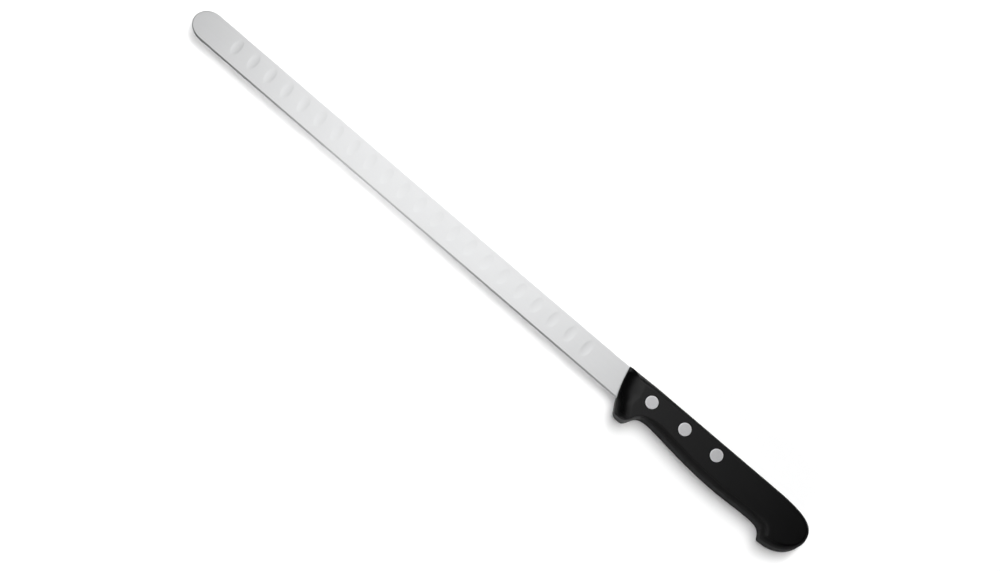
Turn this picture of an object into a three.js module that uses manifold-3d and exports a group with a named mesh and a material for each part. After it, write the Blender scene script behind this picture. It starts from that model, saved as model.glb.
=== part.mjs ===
// A salmon slicing knife: a long, narrow, round-nosed blade with hollow-ground ovals on both faces.
// Its tang lies between two moulded handle scales, which three two-piece cutler's rivets clamp together.
// Millimetres. The knife lies on its side: +X runs from the nose to the butt, +Y from the cutting edge
// to the spine, and +Z up out of the left face. It is drawn around the point where the handle's front
// crosses the blade's centreline, and moved at the end so that the origin is under the middle of its box.

import * as THREE from "three";
import { mergeVertices } from "three/addons/utils/BufferGeometryUtils.js";
import Module from "manifold-3d";

const wasm = await Module();
wasm.setup();

// Blade
const BLADE_LENGTH = 290; // nose to handle, on the centreline
const HEEL_WIDTH = 17.2; // edge to spine at the handle
const NOSE_WIDTH = 16.6; // edge to spine where the round nose begins
const SPINE_THICKNESS = 1.8; // at the handle
const NOSE_THICKNESS = 1.2; // of the spine at the nose
const EDGE_THICKNESS = 0.5; // behind the edge bevel
const EDGE_LAND = 0.1; // width of the cutting edge itself
const BEVEL_WIDTH = 0.9; // height of the edge bevel on the straight edge
const BEVEL_NOSE_TURN = THREE.MathUtils.degToRad(60); // how far the bevel follows the round nose

// Hollow-ground ovals
const OVAL_PITCH = 11.33;
const OVAL_WIDTH = 5.0; // along the blade
const OVAL_HEIGHT = 9.4; // across the blade
const OVAL_DEPTH = 0.24;
const OVAL_RISE = 1.2; // centre above the blade's centreline, towards the spine
const OVAL_NOSE_MARGIN = 26.9; // nose to the first centre on the left face
const OVAL_HEEL_MARGIN = 24; // least distance from a centre to the handle
const OVAL_STAGGER = 0.5; // of a pitch, between the two faces

// Tang
const TANG_LENGTH = 82; // behind the handle's front, on the centreline
const TANG_BELLY_WALL = 1.6; // handle left below the tang at the neck
const TANG_CORNER = 3; // radius of its rear lower corner
const TANG_CLEARANCE = 0.3; // around the tang, in the plane of the blade
const HEEL_SEAT = 7; // depth of the full blade width inside the handle
const HEEL_CLEARANCE = 0.1; // between the ground faces of the heel and its seat

// Handle outline: distances behind the front, and above or below the blade's centreline
const HANDLE_LENGTH = 124.65;
const HANDLE_THICKNESS = 16;
const FRONT_LEAN = 2.1; // the spine corner of the front stands this far ahead of the centreline
const FRONT_RAKE = THREE.MathUtils.degToRad(12.5); // of the front at the spine
const GUARD_RAKE = THREE.MathUtils.degToRad(31.5); // of the front at the guard
const GUARD_FRONT = 7.1; // where the front ends at the guard
const GUARD_DEPTH = 16.1;
const GUARD_TOE = 1.2; // height of the rounded corner between the front and the foot
const FOOT_START = 9.2; // of the guard's flat foot
const FOOT_LENGTH = 1.8;
const GUARD_HEEL = 2.6; // height of the rounded corner behind the foot
const GUARD_BACK = 14.8; // where that corner ends
const GUARD_BACK_SLOPE = THREE.MathUtils.degToRad(62);
const NECK = 24; // narrowest place, behind the guard
const NECK_DEPTH = 8.05;
const SWELL = 71; // deepest place of the palm swell
const SWELL_DEPTH = 11.3;
const WAIST_TO_BUTT = 30.15; // shallow place ahead of the beak
const WAIST_DEPTH = 10.45;
const BEAK_TO_BUTT = 19.65; // point of the hooked beak
const BEAK_DEPTH = 15.4;
const BEAK_SLOPE = THREE.MathUtils.degToRad(60);
const HOOK_DEPTH = 16.3; // lowest place of the butt, behind the beak
const BEAK_WIDTH = 1.4; // rounded point of the beak
const BUTT_DROP = 3.2; // rearmost place, below the centreline
const CREST_TO_BUTT = 27; // where the straight spine begins to round into the butt

// Fullness of the outline's curves: how far each end's tangent reaches, as a share of the stretch
const FRONT_FULLNESS = { spine: 0.37, guard: 0.44 };
const GUARD_BACK_FULLNESS = { guard: 0.78, neck: 0.67 };
const BELLY_FULLNESS = { neck: 0.17, swell: 0.47 };
const WAIST_FULLNESS = { swell: 0.34, waist: 0.34 };
const BEAK_FULLNESS = { waist: 0.74, beak: 0.82 };
const HOOK_FULLNESS = { hook: 0.77, butt: 0.16 };
const BUTT_FULLNESS = { butt: 0.74, crest: 0.72 };

// Handle edges
const EDGE_ROUND = 2.8; // rounding between the sides and the rim
const SPINE_ROUND_FRONT = 7.4; // rounding of the spine's corners at the front
const SPINE_ROUND_HOLD = 5; // how far back that rounding stays
const SPINE_ROUND_NECK = 5; // rounding of the spine's corners over the guard's back
const SPINE_ROUND_REAR = 2.6; // rounding of the spine's corners where the butt begins
const EDGE_ROUND_LEAST = 0.35; // left at tight corners
const CORNER_SHARE = 0.7; // of a corner's own radius that the rounding may use
const ROUND_GROWTH = 0.45; // how fast the rounding grows along the rim, away from a tight corner
const FRONT_ROUND = 8; // length of the front's slope on to the sides
const FRONT_LIP = 1.9; // half thickness of the front where the slope begins

// Rivets
const FRONT_RIVET = 18.3; // behind the handle's front
const MIDDLE_RIVET_TO_TANG_END = 41.8;
const REAR_RIVET_TO_TANG_END = 20.7;
const RIVET_RISE = 0.4; // of the first rivet above the centreline
const RIVET_LINE_SLOPE = 0.0235; // rise of the rivet line per millimetre
const RIVET_HEAD = 7.2; // diameter
const RIVET_HEAD_THICKNESS = 1.2;
const RIVET_HEAD_CHAMFER = 0.15;
const SLEEVE_DIAMETER = 5;
const SLEEVE_BORE = 3.4;
const SLEEVE_END_GAP = 1; // sleeve end to the head of the pin
const PIN_END_GAP = 0.6; // pin end to the bottom of the sleeve's bore
const RIVET_CLEARANCE = 0.15; // radial, around heads, sleeves and pins

// Facets
const ROUND_SEGMENTS = 24; // around a rivet
const OVAL_SEGMENTS = 14;
const OVAL_RINGS = 2;
const RIM_RINGS = 3; // in the rounding of the rim
const FRONT_STEPS = 8; // in the front's slope
const NOSE_STEPS = 28;
const TANG_CORNER_STEPS = 7;
const OUTLINE_STEPS = {
  front: 12,
  toe: 3,
  foot: 1,
  guardHeel: 5,
  guardBack: 9,
  belly: 12,
  waist: 7,
  beak: 10,
  beakPoint: 3,
  hook: 12,
  butt: 14,
  spine: 6,
};
const VERTEX_MERGE = 1e-4;
const STRAIGHT_TURN = 1e-6; // a turn of the outline below which it counts as straight
const BEYOND = 2; // how far a cutter reaches past what it cuts

// Places that several pieces share
const HALF = HANDLE_THICKNESS / 2;
const EDGE_Y = -HEEL_WIDTH / 2;
const NOSE_RADIUS = NOSE_WIDTH / 2;
const NOSE_X = -BLADE_LENGTH + NOSE_RADIUS;
const NOSE_Y = EDGE_Y + NOSE_RADIUS;
const SPINE_SLOPE = (HEEL_WIDTH - NOSE_WIDTH) / -NOSE_X;
const TANG_BOTTOM = TANG_BELLY_WALL - NECK_DEPTH;
const spineY = (x) => HEEL_WIDTH / 2 + SPINE_SLOPE * x;
const RIVET_STATIONS = [
  FRONT_RIVET,
  TANG_LENGTH - MIDDLE_RIVET_TO_TANG_END,
  TANG_LENGTH - REAR_RIVET_TO_TANG_END,
];
const rivetY = (x) => RIVET_RISE + RIVET_LINE_SLOPE * (x - FRONT_RIVET);
const point = (x, y) => new THREE.Vector2(x, y);

// Solids

function solid(geometry) {
  const bare = new THREE.BufferGeometry().setAttribute("position", geometry.getAttribute("position"));
  bare.setIndex(geometry.getIndex());
  const merged = mergeVertices(bare, VERTEX_MERGE);
  return new wasm.Manifold(
    new wasm.Mesh({
      numProp: 3,
      vertProperties: merged.getAttribute("position").array,
      triVerts: new Uint32Array(merged.getIndex().array),
    }),
  );
}

function geometryOf(manifold) {
  const { vertProperties, triVerts } = manifold.getMesh();
  const geometry = new THREE.BufferGeometry();
  geometry.setAttribute("position", new THREE.BufferAttribute(vertProperties, 3));
  geometry.setIndex(new THREE.BufferAttribute(triVerts, 1));
  geometry.computeVertexNormals();
  return geometry;
}

// Joins rings of points, each with the same count, into a closed skin. Both ends are capped with the
// triangles of their flat outlines.
function loft(rings, firstCap, lastCap = firstCap) {
  const count = rings[0].length;
  const last = (rings.length - 1) * count;
  const index = [];
  for (let level = 0; level < rings.length - 1; level += 1) {
    for (let i = 0; i < count; i += 1) {
      const a = level * count + i;
      const b = level * count + ((i + 1) % count);
      index.push(a, b, b + count, a, b + count, a + count);
    }
  }
  for (const [a, b, c] of THREE.ShapeUtils.triangulateShape(firstCap, [])) index.push(c, b, a);
  for (const [a, b, c] of THREE.ShapeUtils.triangulateShape(lastCap, [])) {
    index.push(last + a, last + b, last + c);
  }
  const geometry = new THREE.BufferGeometry().setFromPoints(rings.flat());
  geometry.setIndex(index);
  return geometry;
}

// The same skin on the other side of the blade's middle plane.
function mirrored(geometry) {
  const other = geometry.clone().scale(1, 1, -1);
  const index = other.getIndex().array;
  for (let i = 0; i < index.length; i += 3) {
    [index[i + 1], index[i + 2]] = [index[i + 2], index[i + 1]];
  }
  return other;
}

function prism(outline, halfThickness) {
  const shape = new THREE.Shape(outline);
  const depth = 2 * halfThickness;
  const geometry = new THREE.ExtrudeGeometry(shape, { depth, bevelEnabled: false });
  return solid(geometry.translate(0, 0, -halfThickness));
}

// Carries a flat profile along stretches of a smooth path in the plane of the blade, each given as a
// curve and its count of steps. A profile point is [distance to the left of the path, height].
function planSweep(profile, stretches) {
  const rings = [];
  const addRing = (curve, share) => {
    const at = curve.getPointAt(share);
    const along = curve.getTangentAt(share);
    const place = ([aside, height]) =>
      new THREE.Vector3(at.x - along.y * aside, at.y + along.x * aside, height);
    rings.push(profile.map(place));
  };
  for (const [curve, steps] of stretches) {
    for (let i = 0; i < steps; i += 1) addRing(curve, i / steps);
  }
  const [lastCurve] = stretches[stretches.length - 1];
  addRing(lastCurve, 1);
  return loft(rings, profile.map(([aside, height]) => point(aside, height)));
}

// A round solid about an upright axis, from a profile that starts and ends on that axis.
function turned(profile, segments) {
  return new THREE.LatheGeometry(profile.map(([radius, height]) => point(radius, height)), segments)
    .rotateX(Math.PI / 2);
}

// Blade

// Half the thickness of the ground blade, which thins from spine to edge and from heel to nose.
function halfGround(x, y) {
  const spine = THREE.MathUtils.mapLinear(x, 0, -BLADE_LENGTH, SPINE_THICKNESS, NOSE_THICKNESS);
  return THREE.MathUtils.mapLinear(y, EDGE_Y, spineY(x), EDGE_THICKNESS, spine) / 2;
}

// The flat-ground strip, taken past its own outline on all sides but the handle's.
function groundStrip(seat, clearance) {
  const section = (x) => {
    const low = EDGE_Y - BEYOND;
    const high = spineY(x) + BEYOND;
    const lowHalf = halfGround(x, low) + clearance;
    const highHalf = halfGround(x, high) + clearance;
    return [
      [low, -lowHalf],
      [high, -highHalf],
      [high, highHalf],
      [low, lowHalf],
    ];
  };
  const stations = [-BLADE_LENGTH - BEYOND, seat];
  const rings = stations.map((x) => section(x).map(([y, z]) => new THREE.Vector3(x, y, z)));
  const caps = stations.map((x) => section(x).map(([y, z]) => point(y, z)));
  return solid(loft(rings, caps[0], caps[1]));
}

function bladeOutline(seat) {
  const path = new THREE.Path();
  path.moveTo(seat, spineY(seat));
  path.lineTo(NOSE_X, spineY(NOSE_X));
  path.absarc(NOSE_X, NOSE_Y, NOSE_RADIUS, Math.PI / 2, (3 * Math.PI) / 2, false);
  path.lineTo(seat, EDGE_Y);
  return path.getPoints(NOSE_STEPS);
}

function tangOutline(start, clearance, spineRise) {
  const end = TANG_LENGTH + clearance;
  const bottom = TANG_BOTTOM - clearance;
  const path = new THREE.Path();
  path.moveTo(start, bottom);
  path.lineTo(end - TANG_CORNER, bottom);
  path.absarc(end - TANG_CORNER, bottom + TANG_CORNER, TANG_CORNER, -Math.PI / 2, 0, false);
  path.lineTo(end, spineY(end) + spineRise);
  path.lineTo(start, spineY(start) + spineRise);
  return path.getPoints(TANG_CORNER_STEPS);
}

// Removes what lies above the edge bevel, along the straight edge and part of the way round the nose.
// It comes on to the nose along a tangent, so that the bevel fades in.
function bevelCutter() {
  const rise = (halfGround(0, EDGE_Y + BEVEL_WIDTH) - EDGE_LAND / 2) / BEVEL_WIDTH;
  const height = (aside) => EDGE_LAND / 2 + rise * aside;
  const inner = BEVEL_WIDTH + BEYOND;
  const profile = [
    [-BEYOND, height(inner) + BEYOND],
    [-BEYOND, height(0)],
    [0, height(0)],
    [inner, height(inner)],
    [inner, height(inner) + BEYOND],
  ];
  const edge = -Math.PI / 2;
  const start = edge - BEVEL_NOSE_TURN;
  const nose = new THREE.EllipseCurve(NOSE_X, NOSE_Y, NOSE_RADIUS, NOSE_RADIUS, start, edge);
  const enter = nose.getPoint(0);
  const outside = enter.clone().sub(nose.getTangent(0).multiplyScalar(NOSE_RADIUS));
  const straight = new THREE.LineCurve(point(NOSE_X, EDGE_Y), point(HEEL_SEAT + BEYOND, EDGE_Y));
  return planSweep(profile, [
    [new THREE.LineCurve(outside, enter), 1],
    [nose, NOSE_STEPS / 2],
    [straight, 1],
  ]);
}

// One hollow-ground oval, as a shallow dish that lies on the left face of the blade.
function ovalCutter(x) {
  const dish = (share) => OVAL_DEPTH * (share * share - 1);
  const shares = Array.from({ length: OVAL_RINGS + 1 }, (_, i) => i / OVAL_RINGS);
  const lip = 1 + 1 / (2 * OVAL_RINGS);
  const profile = [...shares, lip].map((share) => [share, dish(share)]);
  profile.push([lip, dish(lip) + BEYOND], [0, dish(lip) + BEYOND]);
  const tilt = Math.atan2(halfGround(x, OVAL_RISE + 1) - halfGround(x, OVAL_RISE), 1);
  return turned(profile, OVAL_SEGMENTS)
    .scale(OVAL_WIDTH / 2, OVAL_HEIGHT / 2, 1)
    .rotateX(tilt)
    .translate(x, OVAL_RISE, halfGround(x, OVAL_RISE));
}

function ovalStations(first) {
  const span = BLADE_LENGTH - OVAL_HEEL_MARGIN - first;
  const count = Math.floor(span / OVAL_PITCH) + 1;
  return Array.from({ length: count }, (_, i) => -BLADE_LENGTH + first + i * OVAL_PITCH);
}

function rivetHole(x, diameter) {
  const radius = diameter / 2 + RIVET_CLEARANCE;
  const reach = HALF + BEYOND;
  const profile = [[0, -reach], [radius, -reach], [radius, reach], [0, reach]];
  return solid(turned(profile, ROUND_SEGMENTS).translate(x, rivetY(x), 0));
}

function makeBlade() {
  const tangStart = HEEL_SEAT - BEYOND;
  let blade = groundStrip(HEEL_SEAT, 0).intersect(prism(bladeOutline(HEEL_SEAT), SPINE_THICKNESS));
  const bevel = bevelCutter();
  blade = blade.subtract(solid(bevel)).subtract(solid(mirrored(bevel)));
  for (const x of ovalStations(OVAL_NOSE_MARGIN)) {
    blade = blade.subtract(solid(ovalCutter(x)));
  }
  for (const x of ovalStations(OVAL_NOSE_MARGIN + OVAL_STAGGER * OVAL_PITCH)) {
    blade = blade.subtract(solid(mirrored(ovalCutter(x))));
  }
  blade = blade.add(prism(tangOutline(tangStart, 0, 0), SPINE_THICKNESS / 2));
  for (const x of RIVET_STATIONS) {
    blade = blade.subtract(rivetHole(x, SLEEVE_DIAMETER));
  }
  return geometryOf(blade);
}

// Handle scales

function cubic(from, leave, arrive, to) {
  return new THREE.CubicBezierCurve(from, leave, arrive, to);
}

// A stretch between two places where the outline runs along the handle.
function levelStretch(from, to, leaveShare, arriveShare) {
  const span = to.x - from.x;
  const leave = point(from.x + leaveShare * span, from.y);
  const arrive = point(to.x - arriveShare * span, to.y);
  return cubic(from, leave, arrive, to);
}

// A rounded corner between two straight directions that meet at one point.
function corner(from, meet, to) {
  return new THREE.QuadraticBezierCurve(from, meet, to);
}

// The front of the handle, from the spine down to the guard.
function frontCurve() {
  const top = point(-FRONT_LEAN, spineY(-FRONT_LEAN));
  const low = point(GUARD_FRONT, GUARD_TOE - GUARD_DEPTH);
  const span = top.y - low.y;
  const down = point(Math.sin(FRONT_RAKE), -Math.cos(FRONT_RAKE));
  const up = point(-Math.sin(GUARD_RAKE), Math.cos(GUARD_RAKE));
  const leave = top.clone().addScaledVector(down, FRONT_FULLNESS.spine * span);
  const arrive = low.clone().addScaledVector(up, FRONT_FULLNESS.guard * span);
  return cubic(top, leave, arrive, low);
}

// The stretches of the outline with the count of steps along each, counter-clockwise from the spine
// corner of the front.
function outlineStretches() {
  const front = frontCurve();
  const toe = front.v3;
  const toeMeet = point(toe.x + GUARD_TOE * Math.tan(GUARD_RAKE), -GUARD_DEPTH);
  const footStart = point(FOOT_START, -GUARD_DEPTH);
  const footEnd = point(FOOT_START + FOOT_LENGTH, -GUARD_DEPTH);
  const back = point(GUARD_BACK, GUARD_HEEL - GUARD_DEPTH);
  const heelMeet = point(back.x - GUARD_HEEL / Math.tan(GUARD_BACK_SLOPE), -GUARD_DEPTH);
  const neck = point(NECK, -NECK_DEPTH);
  const upGuard = point(Math.cos(GUARD_BACK_SLOPE), Math.sin(GUARD_BACK_SLOPE));
  const backLeave = back.clone().addScaledVector(upGuard, GUARD_BACK_FULLNESS.guard * (neck.y - back.y));
  const neckArrive = point(neck.x - GUARD_BACK_FULLNESS.neck * (neck.x - back.x), neck.y);
  const swell = point(SWELL, -SWELL_DEPTH);
  const waist = point(HANDLE_LENGTH - WAIST_TO_BUTT, -WAIST_DEPTH);
  const beak = point(HANDLE_LENGTH - BEAK_TO_BUTT, -BEAK_DEPTH);
  const upBeak = point(-Math.cos(BEAK_SLOPE), Math.sin(BEAK_SLOPE));
  const waistLeave = point(waist.x + BEAK_FULLNESS.waist * (beak.x - waist.x), waist.y);
  const beakArrive = beak.clone().addScaledVector(upBeak, BEAK_FULLNESS.beak * (waist.y - beak.y));
  const hook = point(beak.x + BEAK_WIDTH, -HOOK_DEPTH);
  const beakMeet = point(beak.x + (HOOK_DEPTH - BEAK_DEPTH) / Math.tan(BEAK_SLOPE), -HOOK_DEPTH);
  const butt = point(HANDLE_LENGTH, -BUTT_DROP);
  const hookLeave = point(hook.x + HOOK_FULLNESS.hook * (butt.x - hook.x), hook.y);
  const buttArrive = point(butt.x, butt.y - HOOK_FULLNESS.butt * (butt.y - hook.y));
  const crestX = HANDLE_LENGTH - CREST_TO_BUTT;
  const crest = point(crestX, spineY(crestX));
  const buttLeave = point(butt.x, butt.y + BUTT_FULLNESS.butt * (crest.y - butt.y));
  const arriveX = crest.x + BUTT_FULLNESS.crest * (butt.x - crest.x);
  const crestArrive = point(arriveX, spineY(arriveX));
  return [
    [front, OUTLINE_STEPS.front],
    [corner(toe, toeMeet, footStart), OUTLINE_STEPS.toe],
    [new THREE.LineCurve(footStart, footEnd), OUTLINE_STEPS.foot],
    [corner(footEnd, heelMeet, back), OUTLINE_STEPS.guardHeel],
    [cubic(back, backLeave, neckArrive, neck), OUTLINE_STEPS.guardBack],
    [levelStretch(neck, swell, BELLY_FULLNESS.neck, BELLY_FULLNESS.swell), OUTLINE_STEPS.belly],
    [levelStretch(swell, waist, WAIST_FULLNESS.swell, WAIST_FULLNESS.waist), OUTLINE_STEPS.waist],
    [cubic(waist, waistLeave, beakArrive, beak), OUTLINE_STEPS.beak],
    [corner(beak, beakMeet, hook), OUTLINE_STEPS.beakPoint],
    [cubic(hook, hookLeave, buttArrive, butt), OUTLINE_STEPS.hook],
    [cubic(butt, buttLeave, crestArrive, crest), OUTLINE_STEPS.butt],
    [new THREE.LineCurve(crest, front.v0), OUTLINE_STEPS.spine],
  ];
}

function handleOutline() {
  const points = [];
  for (const [curve, steps] of outlineStretches()) {
    points.push(...curve.getSpacedPoints(steps).slice(0, -1));
  }
  return points;
}

// How far the rim may be rounded at each place of the outline: less at a tight outer corner, growing
// evenly along the rim away from it.
function rimRounding(outline) {
  const count = outline.length;
  const at = (i) => outline[(i + count) % count];
  const rounding = outline.map((here, i) => {
    const before = here.clone().sub(at(i - 1));
    const after = at(i + 1).clone().sub(here);
    const turn = Math.atan2(before.cross(after), before.dot(after));
    const radius = Math.min(before.length(), after.length()) / Math.max(turn, STRAIGHT_TURN);
    return Math.min(EDGE_ROUND, Math.max(EDGE_ROUND_LEAST, CORNER_SHARE * radius));
  });
  const order = [...Array(2 * count).keys()];
  for (const direction of [1, -1]) {
    for (const step of order) {
      const i = (((direction * step) % count) + count) % count;
      const from = (i - direction + count) % count;
      const grown = rounding[from] + ROUND_GROWTH * at(i).distanceTo(at(from));
      rounding[i] = Math.min(rounding[i], grown);
    }
  }
  return rounding;
}

function inwardNormals(outline) {
  const count = outline.length;
  return outline.map((_, i) => {
    const along = outline[(i + 1) % count].clone().sub(outline[(i + count - 1) % count]).normalize();
    return point(-along.y, along.x);
  });
}

// Half of the handle before it is cut: flat side, rounded rim, and a flat face on the middle plane.
function scaleBlank() {
  const outline = handleOutline();
  const rounding = rimRounding(outline);
  const inward = inwardNormals(outline);
  const inset = (i, angle) => {
    const depth = rounding[i] * (1 - Math.cos(angle));
    return outline[i].clone().addScaledVector(inward[i], depth);
  };
  const angles = Array.from({ length: RIM_RINGS + 1 }, (_, i) => ((Math.PI / 2) * i) / RIM_RINGS);
  const rings = [outline.map((p) => new THREE.Vector3(p.x, p.y, 0))];
  for (const angle of angles) {
    const ring = outline.map((_, i) => {
      const p = inset(i, angle);
      return new THREE.Vector3(p.x, p.y, HALF - rounding[i] * (1 - Math.sin(angle)));
    });
    rings.push(ring);
  }
  return solid(loft(rings, outline, outline.map((_, i) => inset(i, Math.PI / 2))));
}

// Removes what lies ahead of the front's slope, which swells from the lip round on to the flat side.
function frontCutter() {
  const profile = [[-BEYOND, HALF + BEYOND], [-BEYOND, FRONT_LIP], [0, FRONT_LIP]];
  for (let i = 1; i <= FRONT_STEPS; i += 1) {
    const angle = ((Math.PI / 2) * i) / FRONT_STEPS;
    const inside = FRONT_ROUND * (1 - Math.cos(angle));
    profile.push([inside, FRONT_LIP + (HALF - FRONT_LIP) * Math.sin(angle)]);
  }
  profile.push([FRONT_ROUND, HALF + BEYOND]);
  const front = frontCurve();
  const above = front.v0.clone().sub(front.getTangent(0).multiplyScalar(BEYOND));
  const below = front.v3.clone().add(front.getTangent(1).multiplyScalar(BEYOND));
  return solid(
    planSweep(profile, [
      [new THREE.LineCurve(above, front.v0), 1],
      [front, FRONT_STEPS],
      [new THREE.LineCurve(front.v3, below), 1],
    ]),
  );
}

// Removes what lies outside the rounded corner between the spine and the flat side, which is full at the
// front and tightens towards the butt.
function spineCutter() {
  const crest = HANDLE_LENGTH - CREST_TO_BUTT;
  const stations = [
    [-FRONT_LEAN - BEYOND, SPINE_ROUND_FRONT],
    [SPINE_ROUND_HOLD, SPINE_ROUND_FRONT],
    [GUARD_BACK, SPINE_ROUND_NECK],
    [crest, SPINE_ROUND_REAR],
  ];
  const section = ([x, radius]) => {
    const spine = spineY(x);
    const outer = spine + BEYOND;
    const inner = spine - radius;
    const low = HALF - radius;
    const high = HALF + BEYOND;
    const profile = [point(outer, low), point(outer, high), point(inner, high)];
    for (let i = FRONT_STEPS; i >= 0; i -= 1) {
      const angle = ((Math.PI / 2) * i) / FRONT_STEPS;
      profile.push(point(inner + radius * Math.cos(angle), low + radius * Math.sin(angle)));
    }
    return profile;
  };
  const sections = stations.map(section);
  const rings = sections.map((ring, i) => ring.map((p) => new THREE.Vector3(stations[i][0], p.x, p.y)));
  return solid(loft(rings, sections[0], sections[sections.length - 1]));
}

// The pocket for the heel of the blade and its tang, open at the front and along the spine.
function tangPocket() {
  const seat = HEEL_SEAT + TANG_CLEARANCE;
  const start = HEEL_SEAT - BEYOND - TANG_CLEARANCE;
  const ahead = -FRONT_LEAN - BEYOND;
  const top = spineY(seat) + BEYOND;
  const bottom = EDGE_Y - TANG_CLEARANCE;
  const heel = [point(ahead, bottom), point(seat, bottom), point(seat, top), point(ahead, top)];
  return groundStrip(seat, HEEL_CLEARANCE)
    .intersect(prism(heel, SPINE_THICKNESS))
    .add(prism(tangOutline(start, TANG_CLEARANCE, BEYOND), SPINE_THICKNESS / 2));
}

function headRecess(x) {
  const radius = RIVET_HEAD / 2 + RIVET_CLEARANCE;
  const floor = HALF - RIVET_HEAD_THICKNESS;
  const profile = [[0, floor], [radius, floor], [radius, HALF + BEYOND], [0, HALF + BEYOND]];
  return solid(turned(profile, ROUND_SEGMENTS).translate(x, rivetY(x), 0));
}

function makeLeftScale() {
  let scale = scaleBlank().subtract(frontCutter()).subtract(spineCutter()).subtract(tangPocket());
  for (const x of RIVET_STATIONS) {
    scale = scale.subtract(rivetHole(x, SLEEVE_DIAMETER)).subtract(headRecess(x));
  }
  return geometryOf(scale);
}

// Rivets: both heads lie flush with the handle's sides

function makeSleeve() {
  const rim = RIVET_HEAD / 2;
  const under = HALF - RIVET_HEAD_THICKNESS;
  const end = SLEEVE_END_GAP - under;
  const profile = [
    [0, under],
    [SLEEVE_BORE / 2, under],
    [SLEEVE_BORE / 2, end],
    [SLEEVE_DIAMETER / 2, end],
    [SLEEVE_DIAMETER / 2, under],
    [rim, under],
    [rim, HALF - RIVET_HEAD_CHAMFER],
    [rim - RIVET_HEAD_CHAMFER, HALF],
    [0, HALF],
  ];
  return turned(profile, ROUND_SEGMENTS);
}

function makePin() {
  const rim = RIVET_HEAD / 2;
  const under = HALF - RIVET_HEAD_THICKNESS;
  const shank = SLEEVE_BORE / 2 - RIVET_CLEARANCE;
  const end = under - PIN_END_GAP;
  const profile = [
    [0, -HALF],
    [rim - RIVET_HEAD_CHAMFER, -HALF],
    [rim, RIVET_HEAD_CHAMFER - HALF],
    [rim, -under],
    [shank, -under],
    [shank, end],
    [0, end],
  ];
  return turned(profile, ROUND_SEGMENTS);
}

// Knife

const steel = new THREE.MeshStandardMaterial({ color: 0xc9cbcc, roughness: 0.3, metalness: 1 });
const plastic = new THREE.MeshStandardMaterial({ color: 0x141415, roughness: 0.4, metalness: 0 });
const rivetMetal = new THREE.MeshStandardMaterial({ color: 0xc2c3c4, roughness: 0.35, metalness: 1 });

function named(name, geometry, material) {
  const mesh = new THREE.Mesh(geometry, material);
  mesh.name = name;
  return mesh;
}

const parts = new THREE.Group();
const leftScale = makeLeftScale();
parts.add(named("blade", makeBlade(), steel));
parts.add(named("left_scale", leftScale, plastic));
parts.add(named("right_scale", mirrored(leftScale), plastic));
["front", "middle", "rear"].forEach((place, i) => {
  const rivet = new THREE.Group();
  rivet.position.set(RIVET_STATIONS[i], rivetY(RIVET_STATIONS[i]), 0);
  rivet.add(named(`${place}_rivet_sleeve`, makeSleeve(), rivetMetal));
  rivet.add(named(`${place}_rivet_pin`, makePin(), rivetMetal));
  parts.add(rivet);
});

const box = new THREE.Box3().setFromObject(parts);
const middle = box.getCenter(new THREE.Vector3());
parts.position.set(-middle.x, -middle.y, -box.min.z);

const knife = new THREE.Group();
knife.add(parts);

export default knife;
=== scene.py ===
"""A salmon slicing knife, lying on its right side on a white table.

The blade, the two handle scales and the halves of the three rivets are modelled in metres. They are
drawn about the point on the middle plane where the blade's centreline runs into the handle, and then
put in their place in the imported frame.
"""

import math

import bmesh
import bpy
from mathutils import Matrix, Vector
from mathutils.geometry import interpolate_bezier, intersect_line_line_2d


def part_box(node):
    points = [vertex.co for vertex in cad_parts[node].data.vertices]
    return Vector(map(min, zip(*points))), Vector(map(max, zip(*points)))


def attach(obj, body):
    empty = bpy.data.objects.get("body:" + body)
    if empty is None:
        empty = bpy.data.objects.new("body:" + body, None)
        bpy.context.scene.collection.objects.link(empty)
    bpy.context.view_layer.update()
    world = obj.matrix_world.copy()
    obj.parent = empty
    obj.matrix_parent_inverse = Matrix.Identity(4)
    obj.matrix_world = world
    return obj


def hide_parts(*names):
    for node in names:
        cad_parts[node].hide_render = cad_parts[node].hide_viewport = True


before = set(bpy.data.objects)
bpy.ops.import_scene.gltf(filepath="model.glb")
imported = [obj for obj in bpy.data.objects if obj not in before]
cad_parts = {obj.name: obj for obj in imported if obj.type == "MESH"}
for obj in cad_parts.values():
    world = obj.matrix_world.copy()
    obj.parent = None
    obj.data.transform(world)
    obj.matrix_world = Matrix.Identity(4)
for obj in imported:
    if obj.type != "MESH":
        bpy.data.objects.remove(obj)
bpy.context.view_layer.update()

MM = 0.001
QUARTER = math.pi / 2

# Sizes of the blade
BLADE_LENGTH = 290 * MM
HEEL_WIDTH = 17.2 * MM
NOSE_WIDTH = 16.6 * MM
NOSE_LENGTH = 10.3 * MM
SPINE_THICKNESS = 1.8 * MM
NOSE_THICKNESS = 1.2 * MM
EDGE_THICKNESS = 0.68 * MM
EDGE_LAND = 0.04 * MM
BEVEL_WIDTH = 0.88 * MM
BEVEL_NOSE_TURN = math.radians(60)
EASED_EDGE = 0.3 * MM
EASED_DROP = 0.09 * MM
HEEL_SEAT = 7 * MM
NOSE_STEPS = 72

# Sizes of the hollow-ground ovals
OVAL_PITCH = 11.33 * MM
OVAL_WIDTH = 5.0 * MM
OVAL_HEIGHT = 9.4 * MM
OVAL_DEPTH = 0.065 * MM
OVAL_RISE = 1.2 * MM
OVAL_NOSE_MARGIN = 26.9 * MM
OVAL_HEEL_MARGIN = 24 * MM
OVAL_STAGGER = 0.5
OVAL_CAP_ANGLE = math.radians(30)
OVAL_LIP_ANGLE = math.radians(36)
OVAL_LIP_LEAST = math.radians(0.6)
OVAL_SEGMENTS = 40
OVAL_RINGS = 44

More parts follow.
